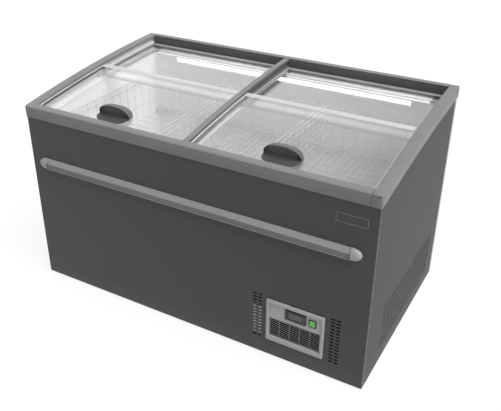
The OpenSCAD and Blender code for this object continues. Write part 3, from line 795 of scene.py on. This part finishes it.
def handle(side):
    """A blunt half-round hood with a rolled lip round its mouth, a wall inside it, a foot
    round it and a finger plate in front."""
    x0, x1 = span(f"lid_handle_{side}")[0]
    mouth_y, height, reach, blunt = 92.0, 42.0, 52.0, 0.78
    x, half = (x0 + x1) / 2, (x1 - x0) / 2
    base_z = curve(mouth_y, FRONT_GLASS[0]) + 0.1
    tilt = math.asin((CREST.y - mouth_y - 20) / TRACK_R)
    place = Matrix.Translation((x, mouth_y, base_z)) @ Matrix.Rotation(tilt, 4, "X")
    across, deep = 36, 14

    def skin(shrink, v):
        """One arch of the hood, shrunk by its wall and turned back by v degrees."""
        w, h, d = half - shrink, height - shrink, reach - shrink
        back = math.radians(v)
        arch = []
        for i in range(across + 1):
            u = math.pi * i / across
            side_step = math.copysign(abs(math.cos(u)) ** blunt, math.cos(u))
            rise = abs(math.sin(u)) ** blunt
            arch.append(Vector((w * side_step, d * rise * math.sin(back), h * rise * math.cos(back))))
        return arch

    wall = 3.0
    arches = [skin(0, v) for v in (90 * (1 - k / deep) for k in range(deep + 1))]
    for bulge, shrink in ((-0.9, 0.5), (-1.2, 1.5), (-0.9, 2.5)):
        arches.append([p + Vector((0, bulge, 0)) for p in skin(shrink, 0)])
    arches += [skin(wall, v) for v in (90 * k / deep for k in range(deep + 1))]
    bm = bmesh.new()
    rows = [[bm.verts.new(p) for p in arch] for arch in arches]
    for a, b in zip(rows, rows[1:]):
        for i in range(across):
            bm.faces.new((a[i], a[i + 1], b[i + 1], b[i]))
    bmesh.ops.remove_doubles(bm, verts=bm.verts, dist=0.02)
    bmesh.ops.dissolve_degenerate(bm, edges=bm.edges, dist=0.01)
    bmesh.ops.recalc_face_normals(bm, faces=bm.faces)
    foot = soften(prism(2, [(p.x, p.y) for p in skin(0.8, 90)], 0, 2.0), 0.6)
    # The wall inside takes a lighter copy of the hood plastic: painted light.
    stop = prism(1, [(p.x, p.z * 0.97) for p in skin(wall - 0.2, 0)], 7, 9)
    fore = (mouth_y - span(f"front_lid_frame_{side}")[1][0] - 12) / reach
    lip = soften(prism(2, [(p.x, -p.y * fore) for p in skin(0.8, 90)], -0.3, 2.0), 0.6)
    return [(moved(part, place), finish) for part, finish in ((bm, 0), (foot, 0), (stop, 1), (lip, 2))]


def lids():
    for side in ("left", "right"):
        for level, glass, under in (("front", FRONT_GLASS, (4, 18)), ("rear", REAR_GLASS, (9, 8))):
            node = f"{level}_glass_{side}"
            piece(f"{level}_pane_{side}", [lid_glass, lid_glass_edge],
                  [glass_sheet(node, glass, under)], [node], body=f"{level}_lid_{side}")
        # The front lid's front bar and runners take a lighter copy of its white trim: painted light.
        for level, drops, glass_top, widths, slot, finishes, runner in (
            ("front", FRONT_STRIP, FRONT_GLASS[0], (9, 28, 9, 6), "lid_trim_white",
             [trim_white, trim_lit], 1),
            ("rear", REAR_STRIP, REAR_GLASS[0], (14, 12, 0, 7), "lid_trim_grey",
             [trim_dim, clear_trim], 0),
        ):
            node = f"{level}_lid_frame_{side}"
            sides, first, last = lid_bars(node, drops, glass_top, *widths)
            bars = [(last, 0), (first, 1)] + [(bar, runner) for bar in sides]
            piece(f"{level}_bars_{side}", finishes, bars, [node], body=f"{level}_lid_{side}")
        piece(f"handle_hood_{side}", [handle_plastic, handle_inner_lit, handle_lip],
              handle(side), [f"lid_handle_{side}"], 50, f"front_lid_{side}")


# -------- inside the tub

def liner():
    """The tub's inner skin: round corners, a raised floor over the machine bay."""
    high = 900.0
    outline = [(TUB_X[0], TUB_FLOOR), (STEP_X, TUB_FLOOR), (STEP_X, STEP_Z), (TUB_X[1], STEP_Z),
               (TUB_X[1], high), (TUB_X[0], high)]
    bm = prism(1, outline, *TUB_Y)
    soften(bm, 16, 4, where=lambda m: m.z < high - 1)
    mouth = [f for f in bm.faces if f.normal.z > 0.99 and f.calc_center_median().z > high - 1]
    bmesh.ops.delete(bm, geom=mouth, context="FACES")
    for y in steps(*TUB_Y, CURVE_STEP)[1:-1]:
        cut(bm, (0, y, 0), (0, 1, 0))
    for v in bm.verts:
        if v.co.z > high - 1:
            v.co.z = curve(v.co.y, LEDGE_DROP + 0.5)
    bmesh.ops.recalc_face_normals(bm, faces=bm.faces)
    inside = bm.faces[:]
    bmesh.ops.reverse_faces(bm, faces=inside)
    bmesh.ops.solidify(bm, geom=inside, thickness=-1.0)
    parts = [(bm, 0)]
    shelf_top = span("basket_left")[2][0]
    # The shelves take the darker copy of the liner white: painted shade.
    for y0, y1 in ((TUB_Y[0], TUB_Y[0] + 24), (TUB_Y[1] - 24, TUB_Y[1])):
        shelf = block(inset(TUB_X, 2), (y0, y1), (shelf_top - 8, shelf_top), 1.5, 3)
        parts.append((shelf, 1))
    piece("tub_skin", [liner_paint, shelf_shaded], parts, ["inner_liner"], 40)


def ledge():
    """Flat surround under the lids, with a rolled lip round the tub's mouth."""
    drops = (LEDGE_DROP, FOAM_DROP)
    inside = (SHEET, CAB_D - SHEET)
    parts = [strip((SHEET, TUB_X[0]), inside, drops), strip((TUB_X[1], CAB_W - SHEET), inside, drops),
             strip(TUB_X, (SHEET, TUB_Y[0]), drops), strip(TUB_X, (TUB_Y[1], CAB_D - SHEET), drops)]
    piece("tub_surround", ledge_plastic, parts, ["top_ledge"])
    ring = rounded_rect(inset(TUB_X, 1), inset(TUB_Y, 1), 16.0, 5)
    path = []
    for (x, y), (x2, y2) in zip(ring, ring[1:] + ring[:1]):
        count = max(1, int(math.hypot(x2 - x, y2 - y) / 60))
        for k in range(count):
            py = y + (y2 - y) * k / count
            path.append((x + (x2 - x) * k / count, py, curve(py, LEDGE_DROP + 0.5)))
    piece("tub_lip", trim_white, [tube(path, 2.4, 10, True)])


def lamp_strip():
    x, (y0, y1), (z0, z1) = span("led_housing")
    section = [(y1, z0), (y1, z1), (y0 + 5, z1), (y0 + 1.5, z1 - 1), (y0, z1 - 4), (y0, z0 + 2),
               (y0 + 2, z0)]
    body = soften(prism(0, section, *inset(x, 3)), 0.6)
    inner = inset(x, 3.2)
    caps = [soften(prism(0, section, *pair), 0.8) for pair in ((x[0], inner[0]), (inner[1], x[1]))]
    piece("lamp_body", [bare_aluminium, trim_white],
          [(body, 0)] + [(cap, 1) for cap in caps], ["led_housing"])
    x, (y0, y1), (z0, z1) = span("led_diffuser")
    middle, half = (z0 + z1) / 2, (z1 - z0) / 2
    angles = [math.radians(a) for a in range(-90, 91, 15)]
    lens = [(y1 - (y1 - y0) * math.cos(a), middle + half * math.sin(a)) for a in angles]
    piece("lamp_lens", lamp_glow, [prism(0, lens, *x)],
          ["led_diffuser"], 40)


def canopy():
    """White covers over the lamp, one in each bay: along the ledge and down to the lamp. They glow
    faintly, painted light, though they are no lamp.
    """
    top = curve(TUB_Y[1], LEDGE_DROP)
    y0, z1 = span("led_housing")[1][0], span("led_housing")[2][1]
    hood = [(TUB_Y[1] - 0.5, top - 1), (TUB_Y[1] - 5, top - 1), (y0 - 2, z1 + 7), (y0 - 2, z1 + 2),
            (y0, z1 + 2), (TUB_Y[1] - 0.5, z1 + 2)]
    parts = []
    for x0, x1 in ((TUB_X[0] + 24, DIVIDER_X[0] - 14), (DIVIDER_X[1] + 14, TUB_X[1] - 26)):
        parts.append(soften(prism(0, hood, x0, x1), 0.8))
        drops = (LEDGE_DROP - 1.4, LEDGE_DROP - 0.1)
        parts.append(strip((x0, x1), (TUB_Y[1] - 4, CAB_D - 22), drops, 0.5))
    piece("lamp_canopy", canopy_glow_white, parts)


def u_wire(axis, fixed, low, high, top, floor, r):
    """A wire that hangs from the rim, crosses the floor and rises to the far side."""
    bend = arc(low + r, floor + r, r, 180, 270, 4) + arc(high - r, floor + r, r, 270, 360, 4)
    line = [(low, top)] + bend + [(high, top)]
    return [(a, fixed, z) if axis == "x" else (fixed, a, z) for a, z in line]


def basket(side):
    x, y, (z0, z1) = span(f"basket_{side}")
    thick, thin, wire_pitch = 2.2, 1.0, 54
    within = 2 * thick + thin * 0.4
    parts = []
    for z, wire, by, corner in ((z1 - thick, thick, thick, 22), (z1 - 26, thick, thick, 22),
                                (z0 + 58, thin, within, 20), (z0 + 112, thin, within, 20)):
        ring = rounded_rect(inset(x, by), inset(y, by), corner, 5)
        parts.append(tube([(a, b, z) for a, b in ring], wire, 8, True))
    ends_x, ends_y = inset(x, 2.6 * thick), inset(y, 2.6 * thick)
    top, floor = z1 - thick, z0 + thin
    for at in steps(*inset(y, 26), wire_pitch):
        parts.append(tube(u_wire("x", at, *ends_x, top, floor + 2 * thin, 14), thin))
    columns = steps(*inset(x, 26), wire_pitch)
    for at in columns:
        parts.append(tube(u_wire("y", at, *ends_y, top, floor, 14), thin))
    for a, b in zip(columns, columns[1:]):
        parts.append(tube([((a + b) / 2, end, floor) for end in inset(y, 24)], thin, 6))
    piece(f"wire_basket_{side}", wire_white, parts, [f"basket_{side}"], 60,
          f"basket_{side}")


# -------- front trim

def bumper():
    (x0, x1), (out, _), (z0, z1) = span("bumper_bar")
    end0, end1 = span("bumper_caps")[0]
    middle, half, deep = (z0 + z1) / 2, (z1 - z0) / 2, -out
    section = [(0, half), (-2.4, half - 0.3), (-4.0, half - 1.4), (-deep + 2.0, 8.4),
               (-deep + 0.4, 6.0), (-deep, 4.6), (-deep + 0.5, 3.6), (-deep + 4.6, 2.8),
               (-deep + 5.2, 2.0), (-deep + 5.2, -half + 6.0), (-deep + 4.6, -half + 5.2),
               (-deep + 2.2, -half + 4.8), (-deep + 1.4, -half + 4.0), (-deep + 1.6, -half + 2.0),
               (-deep + 4.0, -half + 0.4), (-deep + 6.0, -half), (0, -half)]
    bar = prism(0, [(y, middle + z) for y, z in section], x0, x1)
    # The recessed channel takes a darker copy of the bumper grey: painted shade.
    for face in bar.faces:
        lift = face.calc_center_median().z - middle
        face.material_index = 1 if -half + 4.0 < lift < 3.5 and abs(face.normal.x) < 0.5 else 0
    piece("bumper_rail", [bumper_grey, bumper_groove_shade], [bar],
          ["bumper_bar"], 32)

    def cap(inner, outer):
        """A domed end, a little fuller than the bar, that closes towards its tip."""
        way, reach = (1 if outer > inner else -1), abs(outer - inner)
        rings = []
        for k in range(-1, 14):
            f = math.sin(math.radians(90 * k / 13)) if k > 0 else 0.0
            s = max(math.sqrt(max(0.0, 1 - f ** 2.4)), 0.02)
            grow = 0.2 if k < 0 else 1.2
            rings.append([
                (inner + way * reach * f, -(deep + grow) * (math.sin(u) ** 0.62) * (s ** 0.55),
                 middle + (half + grow) * math.cos(u) * s)
                for u in (math.radians(a) for a in range(0, 181, 12))
            ])
        return loft(rings)

    parts = [cap(x0, end0), cap(x1, end1)]
    piece("bumper_ends", bumper_light, parts, ["bumper_caps"], 50)


def nameplate():
    x, (y0, _), z = span("nameplate")
    rings = []
    for by, y in ((0, 0), (0, y0 * 0.6), (0.5, y0), (2.0, y0), (2.4, y0 * 0.7)):
        rings.append([(a, y, b) for a, b in rounded_rect(inset(x, by), inset(z, by), 6 - by, 6)])
    border = loft(rings, caps=False)
    field = prism(1, rounded_rect(inset(x, 2.2), inset(z, 2.2), 4, 6), y0 * 0.7, 0)
    piece("blank_badge", [plate_dark, bezel_dim],
          [(border, 1), (field, 0)], ["nameplate"])


def framed(x, z, hole_x, hole_z, rings):
    """A frame lofted from (share, radius, y) rows: share 0 is its outline, 1 its opening."""
    made = []
    for share, r, y in rings:
        xs = [a + (b - a) * share for a, b in zip(x, hole_x)]
        zs = [a + (b - a) * share for a, b in zip(z, hole_z)]
        made.append([(a, y, b) for a, b in rounded_rect(xs, zs, r, 5)])
    return loft(made, loop=True)


def bezel():
    """The frame round the controls and the louvre, and the plate that holds the controls."""
    x, (y0, _), z = span("control_bezel")
    board, grille = span("control_plate"), span("louvre_grille")
    rows = [(0, 4, 0), (0, 4, y0 * 0.55), (0.1, 4, y0 * 0.86), (0.28, 3.6, y0), (0.72, 3, y0),
            (0.92, 2.4, y0 * 0.84), (1, 2, y0 * 0.6), (1, 2, 0)]
    ring = framed(x, z, grille[0], (grille[2][0], board[2][1]), rows)
    piece("bezel_frame", bezel_grey, [ring], ["control_bezel"], 30)

    x, (y0, _), (z0, z1) = board
    outlines = [rounded_rect(inset(x, 0.2), (z0, z1 - 0.2), 2, 3)]
    for node in ("thermostat_body", "rocker_frame"):
        hole_x, _, hole_z = span(node)
        outlines.append(rounded_rect(inset(hole_x, 3), inset(hole_z, 3), 1.5, 3))
    piece("switch_board", plate_grey, [front_plate(outlines, y0, 0)],
          ["control_plate"])


def thermostat():
    x, (y0, _), z = span("thermostat_body")
    window_x, (window_y, _), window_z = span("thermostat_window")
    rows = [(0, 3, 0), (0, 3, y0 * 0.5), (0.06, 3, y0 * 0.86), (0.2, 2.6, y0), (0.85, 1.8, y0),
            (1, 1.4, y0 * 0.86), (1, 1.4, 0)]
    ring = framed(x, z, window_x, window_z, rows)
    housing = block(inset(x, 4.2), (0, 50), inset(z, 4.2), 1)
    piece("thermostat_case", black_plastic, [ring, housing],
          ["thermostat_body"], 30)
    lens = block(window_x, (window_y + 0.4, -1), window_z, 0.5)
    piece("thermostat_lens", window_tint, [lens], ["thermostat_window"])
    for key in ("set", "up", "down"):
        node = f"button_{key}"
        (x0, x1), (y0, y1), (z0, z1) = span(node)
        r = (x1 - x0) / 2
        profile = [(0.01, 0), (r * 0.45, 0.12), (r * 0.8, 0.45), (r, 1.1), (r, y1 - y0)]
        cap = turned(profile, ((x0 + x1) / 2, y0, (z0 + z1) / 2), 28)
        piece(f"key_{key}", bezel_dim, [cap], [node], body=node)


def rocker():
    """The switch: a surround with a box behind it, and a key of two dished halves with its
    upper half pressed in."""
    x, (y0, _), z = span("rocker_frame")
    key_x = span("power_rocker")[0]
    pivot = joint_point("power_rocker_tip")
    hole_x, hole_z = inset(key_x, -0.4), (pivot.z - 13.2, pivot.z + 13.2)
    rows = [(0, 2.5, 0), (0, 2.5, y0 * 0.6), (0.2, 2.5, y0 * 0.94), (0.45, 2.2, y0), (0.9, 1.4, y0),
            (1, 1.2, y0 * 0.9), (1, 1.2, 0)]
    box_rows = [(0, 1, 0), (0, 1, 20), (1, 1, 20), (1, 1, 0)]
    box_x, box_z = inset(x, 1.7), inset(z, 1.7)
    parts = [framed(x, z, hole_x, hole_z, rows), framed(box_x, box_z, hole_x, hole_z, box_rows),
             block(box_x, (20, 22), box_z, 0.4)]
    piece("rocker_surround", black_plastic, parts, ["rocker_frame"], 30)

    half = [(6, 8), (2, 12.2), (-6, 11.4), (-9.6, 10.6), (-10.0, 9.8), (-9.2, 6), (-8.5, 1)]
    profile = half + [(-8.4, 0)] + [(y, -up) for y, up in reversed(half)]
    key = soften(prism(0, profile, *inset(key_x, 0.2)), 0.6, sharp=60)
    tilt = Matrix.Rotation(math.radians(-10), 4, "X")
    moved(key, Matrix.Translation((0, pivot.y, pivot.z)) @ tilt)
    piece("rocker_key", rocker_green, [key], ["power_rocker"], body="power_rocker")


def louvre():
    """A frame with slats that rise to the right and four upright ribs."""
    x, (y0, y1), z = span("louvre_grille")
    edge, pitch, half, ribs = 4.0, 10.3, 1.5, 4
    rows = [(0, 1.0, y1), (0, 1.0, y0 + 0.4), (0.2, 1.0, y0), (0.8, 0.8, y0), (1, 0.6, y0 + 0.4),
            (1, 0.6, y1)]
    parts = [framed(x, z, inset(x, edge), inset(z, edge), rows)]
    (x0, x1), (z0, z1) = inset(x, edge - 0.5), inset(z, edge - 0.5)
    side = half / math.sqrt(2)
    section = [(-side, side, y0 + 1.4), (-side * 0.5, side * 0.5, y0 + 0.3),
               (side * 0.4, -side * 0.4, y0 + 0.5), (side, -side, y1 - 0.2),
               (side * 0.7, -side * 0.7, y1), (-side * 0.9, side * 0.9, y1)]
    first = x0 - (z1 - z0)
    for i in range(1, int((x1 - first) / pitch) + 1):
        start = first + i * pitch
        low, high = max(z0, z0 + x0 - start), min(z1, z0 + x1 - start)
        if high - low >= 3:
            ends = [(start + end - z0, end) for end in (low, high)]
            parts.append(loft([[(px + du, y, pz + dv) for du, dv, y in section] for px, pz in ends]))
    for i in range(1, ribs + 1):
        middle = x[0] + i * (x[1] - x[0]) / (ribs + 1)
        parts.append(block((middle - 1.3, middle + 1.3), (y0 + 0.1, y1), (z0, z1), 0.4))
    piece("louvre_slats", louvre_grey, parts, ["louvre_grille"])
    # A near-black pad behind the slats paints the shade of the machine bay.
    pad = block(inset(x, 2), (y1 + 1.5, y1 + 5), inset(z, 2), 1.0)
    piece("louvre_shade_pad", shade_black, [pad])


def vent_backing():
    """What is close behind the slots: a bright duct wall at the front's left, and near-black pads
    elsewhere that paint the shade of the bay behind.
    """
    low, high = FRONT_VENT_Z
    left, right = FRONT_VENTS[0] - 5, FRONT_VENTS[1] + 22
    duct = block((left, right), (2.4, 3.4), (low + 12, low + 143), 0.3)
    piece("duct_wall", liner_paint, [duct])
    left, right = FRONT_VENTS[2] - 5, FRONT_VENTS[3] + 22
    side_z = (SIDE_VENT_Z[0] + 70, SIDE_VENT_Z[1] + 6)
    seals = [block((left, right), (3, 7), (low - 5, high + 5), 0.5),
             block((CAB_W - 8, CAB_W - 4), (600, 752), side_z, 0.5)]
    piece("vent_shade_pad", shade_black, seals)


# -------- parts kept from the frame

def kept_nodes():
    for material, nodes in (
        (zinc, ["base_tray", "bay_cover", "compressor_plate", "fan_shroud", "roller_brackets"]),
        (copper_pipe, ["evaporator_tube", "filter_drier", "copper_pipes"]),
        (black_plastic, ["terminal_box", "fan_motor", "cable_gland"]),
        (bare_aluminium, ["condenser_coil", "fan_blade"]),
        (foam, ["foam_insulation"]),
        (enamel_black, ["compressor_shell"]),
        (rubber, ["compressor_mounts"]),
        (steel_parts, ["roller_axles"]),
        (nylon, [f"roller_wheel_{i}" for i in range(1, 5)]),
    ):
        for node in nodes:
            data = NODES[node].data
            data.materials.clear()
            data.materials.append(material)
            for polygon in data.polygons:
                polygon.material_index = 0


# -------- stage

def stage():
    floor_mesh = bpy.data.meshes.new("floor")
    reach = 160.0
    corners = [(-reach, -reach, 0), (reach, -reach, 0), (reach, reach, 0), (-reach, reach, 0)]
    floor_mesh.from_pydata(corners, [], [(0, 1, 2, 3)])
    t = Tree("floor_pale")
    t.set(color=(0.10, 0.10, 0.10), rough=0.8, glow=(1, 1, 1), glow_power=0.87, specular=0.0)
    floor_mesh.materials.append(t.material)
    floor = add_object("floor", floor_mesh)

    world = bpy.data.worlds.new("studio")
    world.use_nodes = True
    nodes, links = world.node_tree.nodes, world.node_tree.links
    bank = nodes.new("ShaderNodeVectorMath")
    bank.operation = "DOT_PRODUCT"
    bank.inputs[1].default_value = Vector((-0.68, 0.63, 0.38)).normalized()
    links.new(nodes.new("ShaderNodeTexCoord").outputs["Generated"], bank.inputs[0])
    spread = nodes.new("ShaderNodeMapRange")
    spread.interpolation_type = "SMOOTHSTEP"
    for name, value in (("From Min", 0.62), ("From Max", 0.97), ("To Min", 0.16), ("To Max", 1.15)):
        spread.inputs[name].default_value = value
    links.new(bank.outputs["Value"], spread.inputs["Value"])
    links.new(spread.outputs["Result"], nodes["Background"].inputs["Strength"])
    nodes["Background"].inputs["Color"].default_value = (1, 1, 1, 1)
    bpy.context.scene.world = world

    key = bpy.data.lights.new("key", "SUN")
    key.energy = 6.0
    key.angle = math.radians(50)
    toward = Vector((0.54, -0.07, 0.84))
    add_object("key", key).rotation_euler = toward.to_track_quat("Z", "Y").to_euler()


def camera():
    lens = bpy.data.cameras.new("camera")
    lens.sensor_width = 36.0
    lens.lens = 50.1
    lens.shift_x = 0.0244
    lens.shift_y = -0.0361
    eye = add_object("camera", lens)
    forward = Vector((-0.4384, 0.7621, -0.4764)).normalized()
    right = Vector((0.8668, 0.4986, 0.0)).normalized()
    up = right.cross(forward)
    turn = Matrix((right, up, -forward)).transposed()
    place = ORIGIN + Vector((1.9858, -1.7887, 1.7904))
    eye.matrix_world = Matrix.Translation(place) @ turn.to_4x4()
    bpy.context.scene.camera = eye


camera()
stage()
front_panel()
side_panels()
back_panel()
rims()
divider()
lids()
liner()
ledge()
lamp_strip()
canopy()
for basket_side in ("left", "middle", "right"):
    basket(basket_side)
bumper()
nameplate()
bezel()
thermostat()
rocker()
louvre()
vent_backing()
kept_nodes()
bpy.context.scene.view_settings.view_transform = "Standard"
